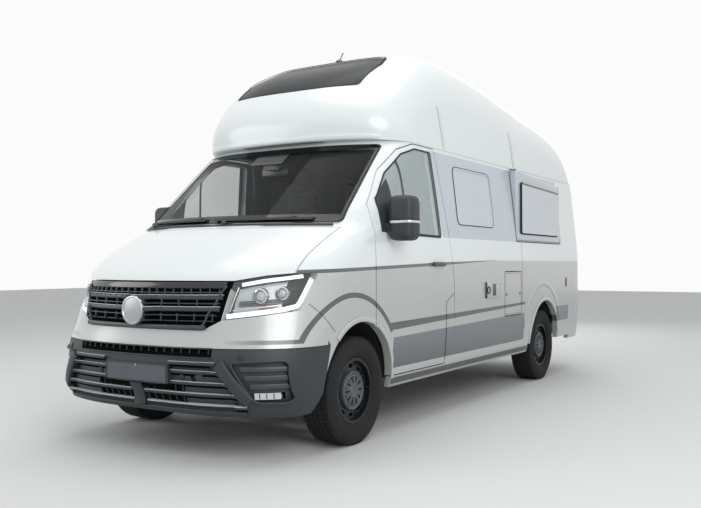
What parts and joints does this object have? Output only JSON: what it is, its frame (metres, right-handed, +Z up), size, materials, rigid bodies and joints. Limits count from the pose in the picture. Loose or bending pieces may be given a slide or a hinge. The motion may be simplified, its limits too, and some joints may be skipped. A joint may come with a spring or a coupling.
{
  "type": "high-roof camper van",
  "caption": "Panel-van camper with moulded high roof, bulged side windows, hinged doors, bonnet and flaps, steered front wheels.",
  "frame": {"origin": "on the ground at mid-length and mid-width, below the middle of the bounding box", "axes": "+Z up, the front faces -Y, +X towards the left side of the vehicle"},
  "size_m": [2.424, 5.993, 3.0121],
  "materials": {
    "cab_frame_paint": "gloss",
    "windshield_glass": "clear",
    "bonnet_paint": "gloss",
    "headlamp_lens": "clear",
    "wing_paint": "gloss",
    "grille_plastic": "gloss",
    "fascia_paint": "gloss",
    "carrier_plastic": "matte",
    "bumper_plastic": "matte",
    "fog_lamp_lens": "clear",
    "plate_board": "matte",
    "roof_gelcoat": "gloss",
    "roof_window_glass": "dark tint",
    "roof_lid_acrylic": "smooth",
    "side_window_acrylic": "tint",
    "pod_shell": "satin",
    "sliding_door_paint": "gloss",
    "side_wall_paint": "gloss",
    "flap_paint": "gloss",
    "tail_lamp_lens": "gloss",
    "floor_steel": "satin",
    "liner_plastic": "matte",
    "sill_paint": "satin",
    "chassis_steel": "rough",
    "rail_steel": "satin",
    "engine_iron": "rough",
    "tank_plastic": "matte",
    "exhaust_steel": "satin",
    "dash_plastic": "matte",
    "seat_fabric": "woven",
    "cabinet_wood": "satin",
    "mattress_fabric": "woven",
    "wiper_rubber": "matte",
    "aerial_plastic": "matte",
    "inlet_plastic": "matte",
    "steering_wheel_skin": "grained",
    "cab_door_paint": "gloss",
    "door_glass": "clear",
    "mirror_plastic": "gloss",
    "rear_door_paint": "gloss",
    "rear_glass": "dark tint",
    "knuckle_iron": "rough",
    "rim_steel": "satin",
    "tyre_rubber": "matte"
  },
  "bodies": {
    "body": {"cab_frame": "cab_frame_paint", "windshield": "windshield_glass", "headlamps": "headlamp_lens", "front_wings": "wing_paint", "grille": "grille_plastic", "front_fascia": "fascia_paint", "lock_carrier": "carrier_plastic", "front_bumper": "bumper_plastic", "fog_lamps": "fog_lamp_lens", "front_plate": "plate_board", "high_roof": "roof_gelcoat", "roof_window": "roof_window_glass", "side_windows": "side_window_acrylic", "side_pods": "pod_shell", "sliding_door": "sliding_door_paint", "side_wall_left": "side_wall_paint", "side_wall_right": "side_wall_paint", "tail_lamps": "tail_lamp_lens", "rear_bumper": "bumper_plastic", "floor_pan": "floor_steel", "wheelhouse_liners": "liner_plastic", "bulkhead": "floor_steel", "sill_trims": "sill_paint", "front_suspension": "chassis_steel", "rear_axle": "chassis_steel", "chassis_rails": "rail_steel", "engine_block": "engine_iron", "underfloor_tanks": "tank_plastic", "exhaust": "exhaust_steel", "dashboard": "dash_plastic", "seats": "seat_fabric", "furniture": "cabinet_wood", "mattress": "mattress_fabric", "wipers": "wiper_rubber", "antenna": "aerial_plastic", "power_inlet": "inlet_plastic"},
    "bonnet": {"bonnet": "bonnet_paint"},
    "steering_wheel": {"steering_wheel": "steering_wheel_skin"},
    "service_flap": {"service_flap": "flap_paint"},
    "roof_hatch": {"roof_hatch": "roof_lid_acrylic"},
    "cab_door_left": {"cab_door_left": "cab_door_paint", "door_glass_left": "door_glass", "mirror_left": "mirror_plastic"},
    "rear_door_left": {"rear_door_left": "rear_door_paint", "rear_glass_left": "rear_glass"},
    "knuckle_left": {"knuckle_left": "knuckle_iron"},
    "wheel_front_left": {"tyre_front_left": "tyre_rubber", "rim_front_left": "rim_steel"},
    "wheel_rear_left": {"tyre_rear_left": "tyre_rubber", "rim_rear_left": "rim_steel"},
    "cab_door_right": {"cab_door_right": "cab_door_paint", "door_glass_right": "door_glass", "mirror_right": "mirror_plastic"},
    "rear_door_right": {"rear_door_right": "rear_door_paint", "rear_glass_right": "rear_glass"},
    "knuckle_right": {"knuckle_right": "knuckle_iron"},
    "wheel_front_right": {"tyre_front_right": "tyre_rubber", "rim_front_right": "rim_steel"},
    "wheel_rear_right": {"tyre_rear_right": "tyre_rubber", "rim_rear_right": "rim_steel"}
  },
  "joints": [
    {"name": "steer_left", "type": "hinge", "parent": "body", "child": "knuckle_left", "pos_m": [0.835, -1.983, 0.354], "axis": [0, 0, 1], "range_deg": [-35, 35]},
    {"name": "wheel_spin_front_left", "type": "hinge", "parent": "knuckle_left", "child": "wheel_front_left", "pos_m": [0.875, -1.983, 0.354], "axis": [1, 0, 0], "continuous": true},
    {"name": "wheel_spin_rear_left", "type": "hinge", "parent": "body", "child": "wheel_rear_left", "pos_m": [0.875, 1.657, 0.354], "axis": [1, 0, 0], "continuous": true},
    {"name": "cab_door_hinge_left", "type": "hinge", "parent": "body", "child": "cab_door_left", "pos_m": [1.008, -1.757, 1], "axis": [0.04, 0, -0.9992], "range_deg": [0, 70]},
    {"name": "rear_door_hinge_left", "type": "hinge", "parent": "body", "child": "rear_door_left", "pos_m": [0.93, 2.969, 1.3], "axis": [0, 0, -1], "range_deg": [0, 180]},
    {"name": "steer_right", "type": "hinge", "parent": "body", "child": "knuckle_right", "pos_m": [-0.835, -1.983, 0.354], "axis": [0, 0, 1], "range_deg": [-35, 35]},
    {"name": "wheel_spin_front_right", "type": "hinge", "parent": "knuckle_right", "child": "wheel_front_right", "pos_m": [-0.875, -1.983, 0.354], "axis": [1, 0, 0], "continuous": true},
    {"name": "wheel_spin_rear_right", "type": "hinge", "parent": "body", "child": "wheel_rear_right", "pos_m": [-0.875, 1.657, 0.354], "axis": [1, 0, 0], "continuous": true},
    {"name": "cab_door_hinge_right", "type": "hinge", "parent": "body", "child": "cab_door_right", "pos_m": [-1.008, -1.757, 1], "axis": [0.04, 0, 0.9992], "range_deg": [0, 70]},
    {"name": "rear_door_hinge_right", "type": "hinge", "parent": "body", "child": "rear_door_right", "pos_m": [-0.93, 2.969, 1.3], "axis": [0, 0, 1], "range_deg": [0, 180]},
    {"name": "steering_wheel_turn", "type": "hinge", "parent": "body", "child": "steering_wheel", "pos_m": [0.42, -1.278, 1.19], "axis": [0, 0.5736, 0.8192], "range_deg": [-525, 525]},
    {"name": "bonnet_hinge", "type": "hinge", "parent": "body", "child": "bonnet", "pos_m": [0, -2.033, 1.435], "axis": [-1, 0, 0], "range_deg": [0, 55]},
    {"name": "service_flap_hinge", "type": "hinge", "parent": "body", "child": "service_flap", "pos_m": [1.0195, 0.752, 0.712], "axis": [0, 1, 0], "range_deg": [0, 95]},
    {"name": "roof_hatch_hinge", "type": "hinge", "parent": "body", "child": "roof_hatch", "pos_m": [0, 1.257, 2.94], "axis": [1, 0, 0], "range_deg": [0, 50]}
  ],
  "couplings": [
    {"joint": "steer_right", "follows": "steer_left", "ratio": 1},
    {"joint": "steering_wheel_turn", "follows": "steer_left", "ratio": 15}
  ]
}
